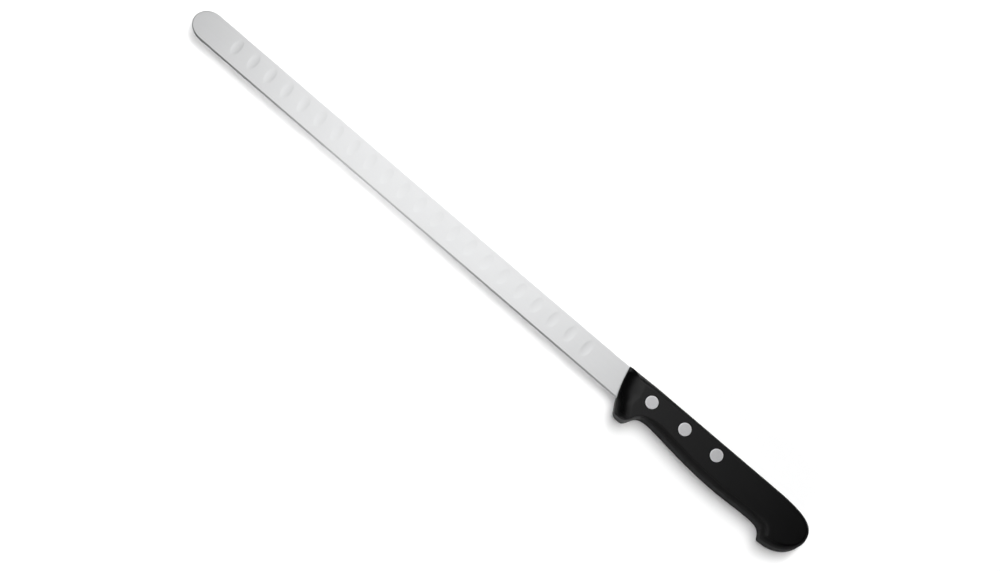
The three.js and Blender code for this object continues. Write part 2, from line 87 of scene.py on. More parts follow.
# Sizes of the tang
TANG_LENGTH = 82 * MM
TANG_BELLY_WALL = 1.6 * MM
TANG_CORNER = 3 * MM
TANG_CLEARANCE = 0.3 * MM
SLOT_CLEARANCE = 0.04 * MM
TANG_CORNER_STEPS = 10

# Outline of the handle
HANDLE_LENGTH = 124.65 * MM
HANDLE_THICKNESS = 16 * MM
FRONT_LEAN = 2.1 * MM
FRONT_RAKE = math.radians(12.5)
GUARD_RAKE = math.radians(31.5)
GUARD_FRONT = 6.65 * MM
GUARD_DEPTH = 16.3 * MM
GUARD_TOE = 1.2 * MM
FOOT_START = 9.2 * MM
FOOT_LENGTH = 1.8 * MM
GUARD_HEEL = 2.6 * MM
GUARD_BACK = 15.35 * MM
GUARD_BACK_SLOPE = math.radians(62)
NECK = 24 * MM
NECK_DEPTH = 8.05 * MM
SWELL = 71 * MM
SWELL_DEPTH = 11.3 * MM
WAIST_TO_BUTT = 30.15 * MM
WAIST_DEPTH = 10.45 * MM
BEAK_TO_BUTT = 19.65 * MM
BEAK_DEPTH = 15.4 * MM
BEAK_SLOPE = math.radians(60)
HOOK_DEPTH = 16.3 * MM
BEAK_WIDTH = 1.4 * MM
BUTT_DROP = 3.2 * MM
CREST_TO_BUTT = 27 * MM
SPINE_SPLIT = 24 * MM

# Fullness of the outline's curves, as shares of each stretch
FRONT_FULLNESS = (0.37, 0.44)
GUARD_BACK_FULLNESS = (0.78, 0.67)
BELLY_FULLNESS = (0.17, 0.47)
WAIST_FULLNESS = (0.34, 0.34)
BEAK_FULLNESS = (0.74, 0.82)
HOOK_FULLNESS = (0.77, 0.27)
BUTT_FULLNESS = (0.79, 0.72)
CORNER_REACH = 2 / 3
CURVE_FINENESS = 160

# Steps along each stretch of the outline
OUTLINE_STEPS = {
    "front": 44,
    "toe": 8,
    "foot": 5,
    "guard_heel": 14,
    "guard_back": 30,
    "belly": 60,
    "waist": 30,
    "beak": 44,
    "hook": 10,
    "butt": 50,
    "crest": 54,
    "spine": 74,
    "spine_front": 34,
}

# Roundings of the handle
EDGE_ROUND = 4.2 * MM
EDGE_LIP = 5.2 * MM
GUARD_ROUND = 0.6 * MM
GUARD_ROUND_END = 17 * MM
EDGE_ROUND_START = 32 * MM
BUTT_ROUND = 1.9 * MM
HOOK_ROUND = 4.8 * MM
SPINE_ROUND_FRONT = 5.4 * MM
SPINE_ROUND_HOLD = 5 * MM
SPINE_ROUND_NECK = 3.4 * MM
SPINE_ROUND_REAR = 1.7 * MM
GUARD_EDGE = 0.5 * MM
CORNER_FADE = 4 * MM
SEAM = 0.1 * MM
ROUND_RINGS = 14

# Sloping front and the facet on the guard's foot
FRONT_SLOPE = 12.5 * MM
TOE_SLOPE = 9.2 * MM
CORNER_LIP = 1.5 * MM
FRONT_LIP = 3.3 * MM
TOE_LIP = 2.8 * MM
FRONT_CRISPNESS = math.radians(75)
TOE_CRISPNESS = math.radians(50)
TOE_FADE_START = -4 * MM
TOE_FADE_END = -12 * MM
SLOPE_RISE = 0.03 * MM
SLOPE_OVERRUN = 8 * MM
SLOPE_STEPS = 44
FOOT_LIP = 5.2 * MM
FACET_RISE = (0.25, 1.5)
FACET_SPAN = 16 * MM

# Sizes of the rivets
FRONT_RIVET = 18.3 * MM
MIDDLE_RIVET_TO_TANG_END = 41.8 * MM
REAR_RIVET_TO_TANG_END = 20.7 * MM
RIVET_RISE = 0.4 * MM
RIVET_LINE_SLOPE = 0.0235
RIVET_HEAD = 7.0 * MM
RIVET_HEAD_THICKNESS = 1.2 * MM
RIVET_HEAD_CHAMFER = 0.18 * MM
SLEEVE_DIAMETER = 5 * MM
SLEEVE_BORE = 3.4 * MM
SLEEVE_END_GAP = 1 * MM
PIN_END_GAP = 0.6 * MM
RIVET_CLEARANCE = 0.15 * MM
RIVET_RING = 0.25 * MM
RIVET_RIM = 0.6 * MM
ROUND_SEGMENTS = 96
HEAD_BEVEL_STEPS = 4
PIN_BEVEL_STEPS = 2
FACING_LEAST = 0.5

# Shading of the edges
BLADE_SMOOTH = math.radians(6)
HANDLE_SMOOTH = math.radians(28)

# Satin steel
STEEL_LIGHT = (0.74, 0.745, 0.75)
STEEL_DARK = (0.69, 0.695, 0.70)
STEEL_LINES = (0.05, 9, 9)
STEEL_CLOUDS = 0.06
STEEL_DETAIL = 3
STEEL_ROUGHNESS = 0.25
STEEL_LINE_ROUGHNESS = 0.06
STEEL_CLOUD_ROUGHNESS = 0.04
STEEL_LINE_HEIGHT = 0.002 * MM
STEEL_LINE_STRENGTH = 0.4

# Moulded black plastic
BLACK_DEEP = (0.001, 0.001, 0.0011)
BLACK_WORN = (0.0018, 0.0018, 0.0019)
GRAIN_SCALE = 3.2
GRAIN_DETAIL = 2
HANDLING_SCALE = 0.11
HANDLING_DETAIL = 4
PLASTIC_ROUGHNESS = 0.17
GRAIN_ROUGHNESS = 0.04
HANDLING_ROUGHNESS = 0.05
STEEP_ROUGHNESS = 0.82
GUARD_WEAR = 0.6
FRONT_POLISH = 3
PLASTIC_IOR = 1.36
GRAIN_HEIGHT = 0.012 * MM
GRAIN_STRENGTH = 0.5

# Ground rivet metal
RIVET_LIGHT = (0.6, 0.6, 0.61)
RIVET_DARK = (0.46, 0.46, 0.47)
# Painted highlight: a brighter colour on the rim of each head
RIVET_RIM_HIGHLIGHT = (0.76, 0.76, 0.77)
RIVET_LINES = (0.5, 7, 0.5)
RIVET_LINE_TURN = (0, 0, 0.5)
RIVET_DETAIL = 3
RIVET_METALLIC = 0.75
RIVET_ROUGHNESS = 0.38
RIVET_LINE_ROUGHNESS = 0.1
RIVET_LINE_HEIGHT = 0.003 * MM
RIVET_LINE_STRENGTH = 0.5

# Table and room
FLOOR_SPAN = 24
FLOOR_COLOUR = (0.9, 0.9, 0.9, 1)
FLOOR_GLOW = 0.04
ROOM = (0.012, 0.012, 0.012, 1)

# Panels that the knife mirrors: the left and right sides are those of the first and the last layer
SOFT_BOX_HEIGHT = 0.4
SOFT_BOX_STEP = 1 * MM
SOFT_BOX_LEFT = (-0.165, -0.355)
SOFT_BOX_RIGHT = (0.05, 0.22)
SOFT_BOX_NEAR = (0.05, 0.015, -0.03, -0.06, -0.09)
SOFT_BOX_FAR = 0.75
SOFT_BOX_RADIANCE = 1.4

# Cards beside the soft box: left side, right side and radiance of each
CARDS = ((-0.15, -0.03, 0.95), (0.085, 0.24, 0.54))
CARD_NEAR = -0.8
CARD_FAR = -0.08

# Walls that only the blade mirrors, with their bearings in degrees
WALL_DISTANCE = 3
WALL_WIDTH = 6
WALL_HEIGHT = 3
WALL_RADIANCE = 0.5
WALLS = {"back_wall": 0, "left_wall": 90, "front_wall": 180, "right_wall": 270}

# Daylight: lean and spread in degrees, and strength
DAYLIGHT = {
    "window": (13, 36, 2.3),
    "side_window": (43, 40, 0.75),
    "low_window": (64, 25, 0.8),
    "far_window": (-10, 25, 0.17),
}

# Fill lamps: place, size and power
FILL_TILT = math.radians(70)
FILLS = {
    "long_fill": ((-0.07, -0.4, 0.15), (0.3, 0.15), 1.8),
    "short_fill": ((-0.083, -0.07, 0.035), (0.04, 0.02), 0.021),
    "butt_fill": ((0.23, -0.07, 0.035), (0.04, 0.02), 0.012),
}

# Camera: how the photograph sees the knife
PIXEL = 0.5155 * MM
IMAGE_WIDTH = 1000
SENSOR_WIDTH = 36
CAMERA_DISTANCE = 3.0
CAMERA_LEAN = math.radians(12)
CAMERA_ROLL = math.radians(40.71)
CAMERA_AIM = Vector((2.5 * MM, 0.3 * MM, 8 * MM))
CLIP_END = 100

# Places that several pieces share
HALF = HANDLE_THICKNESS / 2
EDGE_Y = -HEEL_WIDTH / 2
NOSE_RADIUS = NOSE_WIDTH / 2
NOSE_X = NOSE_LENGTH - BLADE_LENGTH
NOSE_Y = EDGE_Y + NOSE_RADIUS
SPINE_SLOPE = (HEEL_WIDTH - NOSE_WIDTH) / -NOSE_X
TANG_BOTTOM = TANG_BELLY_WALL - NECK_DEPTH
CREST = HANDLE_LENGTH - CREST_TO_BUTT
HEAD_SEAT = HALF - RIVET_HEAD_THICKNESS
RIVET_HOLE = SLEEVE_DIAMETER / 2 + RIVET_CLEARANCE
BEYOND = 2 * MM
MERGE = 0.001 * MM
ORIGIN = Vector((
    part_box("blade")[0].x + BLADE_LENGTH,
    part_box("blade")[0].y + HEEL_WIDTH / 2,
    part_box("left_scale")[0].z,
))
RIVET_STATIONS = {
    "front": FRONT_RIVET,
    "middle": TANG_LENGTH - MIDDLE_RIVET_TO_TANG_END,
    "rear": TANG_LENGTH - REAR_RIVET_TO_TANG_END,
}


def mix(a, b, share):
    return a + (b - a) * share


def ease(share):
    return share * share * (3 - 2 * share)


def passed(value, start, end):
    """A smooth step from 0 at the start to 1 at the end."""
    return ease(min(1, max(0, (value - start) / (end - start))))


def plan(x, y):
    return Vector((x, y))


def toward(angle):
    return Vector((math.cos(angle), math.sin(angle)))


def spine_y(x):
    return HEEL_WIDTH / 2 + SPINE_SLOPE * x


def rivet_place(x):
    return Vector((x, RIVET_RISE + RIVET_LINE_SLOPE * (x - FRONT_RIVET), 0))


# Modelling by hand


def only(piece):
    """Selects one object and nothing else."""
    bpy.ops.object.select_all(action="DESELECT")
    piece.select_set(True)
    bpy.context.view_layer.objects.active = piece


def edit(piece):
    only(piece)
    bpy.ops.object.mode_set(mode="EDIT")


def leave_edit():
    bpy.ops.object.mode_set(mode="OBJECT")


def add(name, primitive, **sizes):
    """Adds a primitive as the start of a piece and gives it its name."""
    bpy.ops.object.select_all(action="DESELECT")
    primitive(**sizes)
    piece = bpy.context.object
    piece.name = name
    piece.data.name = name
    return piece


def select(piece, test):
    """In edit mode, selects just the faces that the test on their centre and normal picks."""
    bpy.ops.mesh.select_mode(type="FACE")
    bpy.ops.mesh.select_all(action="DESELECT")
    mesh = bmesh.from_edit_mesh(piece.data)
    for face in mesh.faces:
        face.select_set(test(face.calc_center_median(), face.normal))
    bmesh.update_edit_mesh(piece.data)


def close_up(piece):
    """Merges doubled points and turns all faces outwards."""
    edit(piece)
    bpy.ops.mesh.select_all(action="SELECT")
    bpy.ops.mesh.remove_doubles(threshold=MERGE)
    bpy.ops.mesh.normals_make_consistent(inside=False)
    leave_edit()


def loft(name, rings):
    """A closed skin: a circle pulled on to the first ring, extruded from ring to ring and capped."""
    count = len(rings[0])
    piece = add(name, bpy.ops.mesh.primitive_circle_add, vertices=count, fill_type="NOTHING")
    edit(piece)
    bpy.ops.mesh.select_mode(type="VERT")
    mesh = bmesh.from_edit_mesh(piece.data)
    station = mesh.verts.layers.int.new("station")
    for i, vertex in enumerate(mesh.verts):
        vertex[station] = i
        vertex.co = rings[0][i]
    bpy.ops.mesh.edge_face_add()
    for ring in rings[1:]:
        bpy.ops.mesh.extrude_region()
        mesh = bmesh.from_edit_mesh(piece.data)
        station = mesh.verts.layers.int["station"]
        for vertex in mesh.verts:
            if vertex.select:
                vertex.co = ring[vertex[station]]
        bmesh.update_edit_mesh(piece.data)
    leave_edit()
    piece.data.attributes.remove(piece.data.attributes["station"])
    close_up(piece)
    return piece


def cut(piece, *cutters):
    """Takes the cutters' solids out of a piece, and removes the cutters."""
    for cutter in cutters:
        only(piece)
        tool = piece.modifiers.new("cut", "BOOLEAN")
        tool.operation = "DIFFERENCE"
        tool.solver = "EXACT"
        tool.object = cutter
        bpy.ops.object.modifier_apply(modifier=tool.name)
        bpy.data.objects.remove(cutter)


def join(pieces):
    """Makes several objects one, under the first one's name."""
    bpy.ops.object.select_all(action="DESELECT")
    for piece in pieces:
        piece.select_set(True)
    bpy.context.view_layer.objects.active = pieces[0]
    bpy.ops.object.join()
    return pieces[0]


def copy_of(piece, name, matrix):
    """A copy with its own mesh, moved by the matrix."""
    twin = piece.copy()
    twin.data = piece.data.copy()
    twin.name = name
    twin.data.name = name
    twin.data.transform(matrix)
    bpy.context.scene.collection.objects.link(twin)
    return twin


def smooth(piece, angle):
    only(piece)
    bpy.ops.object.shade_smooth_by_angle(angle=angle)


def note(piece, name, measure):
    """Keeps a value at every point of a piece, for its finish to read."""
    field = piece.data.attributes.new(name, "FLOAT", "POINT")
    for point, kept in zip(piece.data.vertices, field.data):
        kept.value = measure(point)


def settle(piece, node, finish):
    """Puts a finished piece in its place in the frame, in the stead of its CAD node."""
    piece.data.transform(Matrix.Translation(ORIGIN))
    piece.data.materials.clear()
    piece.data.materials.append(finish)
    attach(piece, "root")
    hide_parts(node)


# Paths in the plane of the blade


def evenly(path, steps):
    """The same path as steps + 1 points at equal distances."""
    reach = [0]
    for a, b in zip(path, path[1:]):
        reach.append(reach[-1] + (b - a).length)
    points = []
    leg = 0
    for i in range(steps + 1):
        goal = reach[-1] * i / steps
        while leg < len(path) - 2 and reach[leg + 1] < goal:
            leg += 1
        span = reach[leg + 1] - reach[leg]
        share = (goal - reach[leg]) / span if span else 0
        points.append(path[leg].lerp(path[leg + 1], share))
    return points


def cubic(start, leave, arrive, end):
    """A curve that leaves its start and arrives at its end along two handles."""
    flat = [Vector((p.x, p.y, 0)) for p in (start, leave, arrive, end)]
    return [p.to_2d() for p in interpolate_bezier(*flat, CURVE_FINENESS)]


def corner(start, meet, end):
    """A rounded corner between two straight directions that meet at one point."""
    return cubic(start, start.lerp(meet, CORNER_REACH), end.lerp(meet, CORNER_REACH), end)


def level(start, end, fullness):
    """A stretch that leaves and arrives along the handle."""
    span = end.x - start.x
    leave = plan(start.x + fullness[0] * span, start.y)
    arrive = plan(end.x - fullness[1] * span, end.y)
    return cubic(start, leave, arrive, end)


def inward(path):
    """Unit directions to the left of the path, one for each of its points."""
    last = len(path) - 1
    directions = []
    for i in range(len(path)):
        along = (path[min(i + 1, last)] - path[max(i - 1, 0)]).normalized()
        directions.append(plan(-along.y, along.x))
    return directions


def reach_on(path, length):
    """The path carried on straight at both its ends."""
    before = path[0] + (path[0] - path[1]).normalized() * length
    after = path[-1] + (path[-1] - path[-2]).normalized() * length
    return [before, *path, after]


def crossing(path, other):
    """Where two paths cross: the legs of each and the point."""
    for i in range(len(path) - 1, 0, -1):
        for j in range(len(other) - 1):
            point = intersect_line_line_2d(path[i - 1], path[i], other[j], other[j + 1])
            if point is not None:
                return i, j, plan(*point)
    raise ValueError("the paths do not cross")


def mitred(points, widths):
    """A closed outline moved inwards by its own width at each point."""
    count = len(points)
    moved = []
    for i, here in enumerate(points):
        before = (here - points[i - 1]).normalized()
        after = (points[(i + 1) % count] - here).normalized()
        left = plan(-before.y - after.y, before.x + after.x).normalized()
        moved.append(here + left * widths[i] / max(left.dot(plan(-after.y, after.x)), MERGE))
    return moved


# Blade


def half_ground(x, y):
    """Half the thickness of the ground blade, which thins from spine to edge and from heel to nose."""
    spine = mix(SPINE_THICKNESS, NOSE_THICKNESS, min(1, max(0, -x / BLADE_LENGTH)))
    share = (y - EDGE_Y) / (spine_y(x) - EDGE_Y)
    return mix(EDGE_THICKNESS, spine, share) / 2


def half_strip(x, y):
    """Half the thickness of the whole strip: ground as far as the heel, flat along the tang."""
    return half_ground(x, y) if x < HEEL_SEAT - MERGE else SPINE_THICKNESS / 2


def strip_outline(spine_rise=0, clearance=0):
    """The blade with its tang, counter-clockwise from the tang's end.

    Each point comes with its share of the edge's bevel: 1 along the cutting edge, and less round the
    nose until it is gone.
    """
    end = TANG_LENGTH + clearance
    bottom = TANG_BOTTOM - clearance
    edge = EDGE_Y - clearance
    seat = HEEL_SEAT + clearance
    points = [(plan(end, spine_y(end) + spine_rise), 0), (plan(seat, spine_y(seat) + spine_rise), 0)]
    for i in range(NOSE_STEPS + 1):
        angle = QUARTER + math.pi * i / NOSE_STEPS
        before_edge = 3 * QUARTER - angle
        share = ease(max(0, 1 - before_edge / BEVEL_NOSE_TURN))
        turn = toward(angle)
        points.append((plan(NOSE_X + NOSE_LENGTH * turn.x, NOSE_Y + NOSE_RADIUS * turn.y), share))
    points += [(plan(HEEL_SEAT - BEYOND, edge), 1), (plan(seat, edge), 0), (plan(seat, bottom), 0)]
    centre = plan(end - TANG_CORNER, bottom + TANG_CORNER)
    for i in range(TANG_CORNER_STEPS + 1):
        angle = QUARTER * (i / TANG_CORNER_STEPS - 1)
        points.append((centre + TANG_CORNER * toward(angle), 0))
    return points


def make_strip():
    """The steel strip with its eased edges and the bevel of the cutting edge."""
    outline = strip_outline()
    points = [point for point, _ in outline]
    widths = [mix(EASED_EDGE, BEVEL_WIDTH, share) for _, share in outline]
    inner = mitred(points, widths)
    rings = []
    for side in (-1, 1):
        face = [(p.x, p.y, side * half_strip(p.x, p.y)) for p in inner]
        rim = []
        for p, (_, share) in zip(points, outline):
            wall = mix(half_strip(p.x, p.y) - EASED_DROP, EDGE_LAND / 2, share)
            rim.append((p.x, p.y, side * wall))
        rings += [face, rim] if side < 0 else [rim, face]
    return loft("knife_blade", rings)


def slice_strip(strip, stations):
    """Cuts the faces across at each station, so that the ground faces can twist."""
    edit(strip)
    for x in stations:
        bpy.ops.mesh.select_all(action="SELECT")
        bpy.ops.mesh.bisect(plane_co=(x, 0, 0), plane_no=(1, 0, 0))
    leave_edit()


def make_oval_cutter():
    """The lower cap of a sphere, as wide, high and deep as one oval and standing a little proud."""
    cutter = add(
        "oval_cutter",
        bpy.ops.mesh.primitive_uv_sphere_add,
        segments=OVAL_SEGMENTS,
        ring_count=OVAL_RINGS,
        radius=1,
    )
    edit(cutter)
    bpy.ops.mesh.select_all(action="SELECT")
    lip = (0, 0, -math.cos(OVAL_LIP_ANGLE))
    bpy.ops.mesh.bisect(plane_co=lip, plane_no=(0, 0, 1), use_fill=True, clear_outer=True)
    leave_edit()
    spread = math.sin(OVAL_CAP_ANGLE)
    depth = OVAL_DEPTH / (1 - math.cos(OVAL_CAP_ANGLE))
    cutter.data.transform(Matrix.Translation((0, 0, math.cos(OVAL_CAP_ANGLE))))
    cutter.data.transform(Matrix.Diagonal((OVAL_WIDTH / 2 / spread, OVAL_HEIGHT / 2 / spread, depth, 1)))
    return cutter


def oval_stations(first):
    """Where the ovals of one face lie, the first of them measured from the nose."""
    span = BLADE_LENGTH - OVAL_HEEL_MARGIN - first
    count = int(span / OVAL_PITCH) + 1
    return [first - BLADE_LENGTH + i * OVAL_PITCH for i in range(count)]


def oval_cutters():
    """All the ovals of both faces, each square to the ground face where it lies."""
    pattern = make_oval_cutter()
    cutters = []
    for side in (1, -1):
        first = OVAL_NOSE_MARGIN + (0 if side > 0 else OVAL_STAGGER * OVAL_PITCH)
        for x in oval_stations(first):
            height = half_ground(x, OVAL_RISE)
            tilt = math.atan2(half_ground(x, OVAL_RISE + MM) - height, MM)
            place = Matrix.Translation((x, OVAL_RISE, side * height))
            turn = Matrix.Rotation(tilt if side > 0 else math.pi - tilt, 4, "X")
            cutters.append(copy_of(pattern, "oval", place @ turn))
    bpy.data.objects.remove(pattern)
    return join(cutters)


def round_cutters(name, radius, low, high):
    """One upright cylinder at each rivet."""
    cutters = []
    for x in RIVET_STATIONS.values():
        place = rivet_place(x) + Vector((0, 0, (low + high) / 2))
        cutters.append(add(
            name,
            bpy.ops.mesh.primitive_cylinder_add,
            vertices=ROUND_SEGMENTS,
            radius=radius,
            depth=high - low,
            location=place,
        ))
    cutter = join(cutters)
    only(cutter)
    bpy.ops.object.transform_apply(location=True)
    return cutter


def sharpen_ovals(blade):
    """Marks the lips of the ovals, which are too shallow for the angle of smoothing to find."""
    edit(blade)
    bpy.ops.mesh.select_mode(type="EDGE")
    bpy.ops.mesh.select_all(action="DESELECT")
    mesh = bmesh.from_edit_mesh(blade.data)
    for edge in mesh.edges:
        start, end = edge.verts
        middle = (start.co + end.co) / 2
        in_row = middle.x < 0 and abs(middle.y - OVAL_RISE) < OVAL_HEIGHT / 2 + MERGE
        edge.select_set(in_row and edge.calc_face_angle(0) > OVAL_LIP_LEAST)
    bmesh.update_edit_mesh(blade.data)
    bpy.ops.mesh.mark_sharp()
    leave_edit()


def make_blade():
    """The strip, sliced between its ovals, with the ovals and the tang's rivet holes taken out."""
    blade = make_strip()
    slices = oval_stations(OVAL_NOSE_MARGIN - OVAL_PITCH / 2) + [-OVAL_HEEL_MARGIN / 2, 0]
    slice_strip(blade, slices)
    ovals = oval_cutters()
    holes = round_cutters("tang_hole", RIVET_HOLE, -HALF, HALF)
    cut(blade, ovals, holes)
    close_up(blade)
    smooth(blade, BLADE_SMOOTH)
    sharpen_ovals(blade)
    return blade


# Handle scales


class Stretch:
    """One stretch of the handle's outline, and how the side rounds on to it.

    The flat side begins an inset inside the outline. The inset is a pair of values for the two ends,
    or a rule for every point. The wall stands as high as the lip, which is such a pair as well, or else
    as far under the flat side as the inset is wide. A fan draws in to one point of the flat side.
    """

    def __init__(self, name, path, inset, lip=None, fan=False):
        self.steps = OUTLINE_STEPS[name]
        self.path = evenly(path, self.steps)
        self.fan = fan
        insets = self.between(inset) if isinstance(inset, tuple) else [inset(p) for p in self.path]
        self.lips = self.between(lip) if lip else [HALF - width for width in insets]
        rows = zip(self.path, inward(self.path), insets)
        self.inner = [point + side * width for point, side, width in rows]

    def between(self, ends):
        return [mix(*ends, ease(i / self.steps)) for i in range(self.steps + 1)]


def spine_round(point):
    """How far the spine's corner is rounded: full at the front, tightening towards the butt."""
    if point.x < GUARD_BACK:
        share = max(0, (point.x - SPINE_ROUND_HOLD) / (GUARD_BACK - SPINE_ROUND_HOLD))
        return mix(SPINE_ROUND_FRONT, SPINE_ROUND_NECK, share)
    return mix(SPINE_ROUND_NECK, SPINE_ROUND_REAR, (point.x - GUARD_BACK) / (CREST - GUARD_BACK))


def grip_round(point):
    """How far the belly's edge is rounded: tightly behind the guard, fully under the fingers."""
    return mix(GUARD_ROUND, EDGE_ROUND, passed(point.x, GUARD_ROUND_END, EDGE_ROUND_START))


def below_corner(point):
    """0 at the spine's corner of the front, and 1 from a little below it."""
    top = spine_y(-FRONT_LEAN)
    return passed(point.y, top, top - CORNER_FADE)


def front_round(point):
    """How far the edge of the front is rounded: as the spine at the corner, and hardly below it."""
    return mix(SPINE_ROUND_FRONT, GUARD_EDGE, below_corner(point))


def front_path():
    """The front of the handle, from the spine down to the guard's toe."""
    top = plan(-FRONT_LEAN, spine_y(-FRONT_LEAN))
    low = plan(GUARD_FRONT, GUARD_TOE - GUARD_DEPTH)
    span = top.y - low.y
    leave = top + FRONT_FULLNESS[0] * span * plan(math.sin(FRONT_RAKE), -math.cos(FRONT_RAKE))
    arrive = low + FRONT_FULLNESS[1] * span * plan(-math.sin(GUARD_RAKE), math.cos(GUARD_RAKE))
    return cubic(top, leave, arrive, low)


def handle_stretches():
    """The outline counter-clockwise from the spine's corner of the front."""
    front = front_path()
    toe = front[-1]
    toe_meet = plan(toe.x + GUARD_TOE * math.tan(GUARD_RAKE), -GUARD_DEPTH)
    foot_start = plan(FOOT_START, -GUARD_DEPTH)
    foot_end = plan(FOOT_START + FOOT_LENGTH, -GUARD_DEPTH)
    back = plan(GUARD_BACK, GUARD_HEEL - GUARD_DEPTH)
    heel_meet = plan(back.x - GUARD_HEEL / math.tan(GUARD_BACK_SLOPE), -GUARD_DEPTH)
    neck = plan(NECK, -NECK_DEPTH)
    back_leave = back + GUARD_BACK_FULLNESS[0] * (neck.y - back.y) * toward(GUARD_BACK_SLOPE)
    neck_arrive = plan(mix(neck.x, back.x, GUARD_BACK_FULLNESS[1]), neck.y)
    swell = plan(SWELL, -SWELL_DEPTH)
    waist = plan(HANDLE_LENGTH - WAIST_TO_BUTT, -WAIST_DEPTH)
    beak = plan(HANDLE_LENGTH - BEAK_TO_BUTT, -BEAK_DEPTH)
    waist_leave = plan(mix(waist.x, beak.x, BEAK_FULLNESS[0]), waist.y)
    beak_arrive = beak - BEAK_FULLNESS[1] * (waist.y - beak.y) * toward(-BEAK_SLOPE)
    hook = plan(beak.x + BEAK_WIDTH, -HOOK_DEPTH)
    beak_meet = plan(beak.x + (HOOK_DEPTH - BEAK_DEPTH) / math.tan(BEAK_SLOPE), -HOOK_DEPTH)
    butt = plan(HANDLE_LENGTH, -BUTT_DROP)
    hook_leave = plan(mix(hook.x, butt.x, HOOK_FULLNESS[0]), hook.y)
    butt_arrive = plan(butt.x, mix(butt.y, hook.y, HOOK_FULLNESS[1]))
    crest = plan(CREST, spine_y(CREST))
    butt_leave = plan(butt.x, mix(butt.y, crest.y, BUTT_FULLNESS[0]))
    arrive_x = mix(crest.x, butt.x, BUTT_FULLNESS[1])
    crest_arrive = plan(arrive_x, spine_y(arrive_x))
    split = plan(SPINE_SPLIT, spine_y(SPINE_SPLIT))
    even = (EDGE_ROUND, EDGE_ROUND)
    slight = (GUARD_EDGE, GUARD_EDGE)
    rim = (EDGE_LIP, EDGE_LIP)
    heel_rim = (HALF - GUARD_EDGE, EDGE_LIP)
    return [
        Stretch("front", front, front_round),
        Stretch("toe", corner(toe, toe_meet, foot_start), slight),
        Stretch("foot", [foot_start, foot_end], slight),
        Stretch("guard_heel", corner(foot_end, heel_meet, back), (GUARD_EDGE, GUARD_ROUND), heel_rim),
        Stretch("guard_back", cubic(back, back_leave, neck_arrive, neck), grip_round, rim),
        Stretch("belly", level(neck, swell, BELLY_FULLNESS), grip_round, rim),
        Stretch("waist", level(swell, waist, WAIST_FULLNESS), even, rim),
        Stretch("beak", cubic(waist, waist_leave, beak_arrive, beak), (EDGE_ROUND, HOOK_ROUND), rim),
        Stretch("hook", corner(beak, beak_meet, hook), (HOOK_ROUND, EDGE_ROUND), rim, fan=True),
        Stretch("butt", cubic(hook, hook_leave, butt_arrive, butt), (EDGE_ROUND, BUTT_ROUND), rim),
        Stretch("crest", cubic(butt, butt_leave, crest_arrive, crest), (BUTT_ROUND, SPINE_ROUND_REAR)),
        Stretch("spine", [crest, split], spine_round),
        Stretch("spine_front", [split, front[0]], spine_round),
    ]


def mitre_insets(stretches):
    """Ends the inner paths where they meet at the sharp corners.

    Those are the spine's corner of the front, where the outline starts, and each fan, which draws in to
    the point where its neighbours meet.
    """
    drawn = [stretch for stretch in stretches if not stretch.fan]
    for before, after in zip([drawn[-1], *drawn], drawn):
        at = stretches.index(after)
        between = stretches[at - 1]
        if at > 0 and between is before:
            continue
        leaving = reach_on(before.inner, EDGE_ROUND)
        arriving = reach_on(after.inner, EDGE_ROUND)
        leg, other_leg, meet = crossing(leaving, arriving)
        before.inner = leaving[1:leg] + [meet]
        after.inner = [meet] + arriving[other_leg + 1:-1]
        if between.fan:
            between.inner = [meet, meet]
    for stretch in stretches:
        stretch.inner = evenly(stretch.inner, stretch.steps)


def rounding(crisp, share):
    """How far a rounding has drawn in and risen, a share of the way round from its lip.

    It leaves the lip upright, or leaning in the more the larger its crispness.
    """
    angle = mix(crisp, QUARTER, share)
    drawn_in = 1 - math.cos(angle) / math.cos(crisp)
    risen = (math.sin(angle) - math.sin(crisp)) / (1 - math.sin(crisp))
    return drawn_in, risen


def front_cutter():
    """All that lies above the sloping front, which is steeper at the guard's toe."""
    path = reach_on(evenly(front_path(), SLOPE_STEPS), SLOPE_OVERRUN)
    rings = []
    for point, side in zip(path, inward(path)):
        toe = passed(point.y, TOE_FADE_START, TOE_FADE_END)
        lip = mix(mix(CORNER_LIP, FRONT_LIP, below_corner(point)), TOE_LIP, toe)
        width = mix(FRONT_SLOPE, TOE_SLOPE, toe)
        crisp = mix(FRONT_CRISPNESS, TOE_CRISPNESS, toe)
        section = [(-BEYOND, lip)]
        for k in range(ROUND_RINGS + 1):
            drawn_in, risen = rounding(crisp, k / ROUND_RINGS)
            section.append((width * drawn_in, mix(lip, HALF + SLOPE_RISE, risen)))
        section += [(width, HALF + BEYOND), (-BEYOND, HALF + BEYOND)]
        rings.append([(*(point + side * reach), z) for reach, z in section])
    return loft("front_cutter", rings)


def foot_cutter():
    """All that lies above the facet on the guard's foot."""
    along, across = FACET_RISE
    normal = Vector((-along, -across, 1)).normalized()
    cutter = add(
        "foot_cutter",
        bpy.ops.mesh.primitive_cube_add,
        size=FACET_SPAN,
        location=Vector((FOOT_START + FOOT_LENGTH, -GUARD_DEPTH, FOOT_LIP)) + normal * FACET_SPAN / 2,
        rotation=normal.to_track_quat("Z", "Y").to_euler(),
    )
    bpy.ops.object.transform_apply(location=True, rotation=True)
    return cutter


def tang_slot():
    """What the heel of the blade and its tang take up, a hair wider, open at the front and the spine."""
    outline = [point for point, _ in strip_outline(spine_rise=BEYOND, clearance=TANG_CLEARANCE)]
    heel_end = HEEL_SEAT + TANG_CLEARANCE + MERGE
    rings = []
    for side in (-1, 1):
        ring = []
        for p in outline:
            in_heel = p.x < heel_end and p.y < TANG_BOTTOM
            half = half_ground(min(p.x, HEEL_SEAT), p.y) if in_heel else SPINE_THICKNESS / 2
            ring.append((p.x, p.y, side * (half + SLOT_CLEARANCE)))
        rings.append(ring)
    return loft("tang_slot", rings)


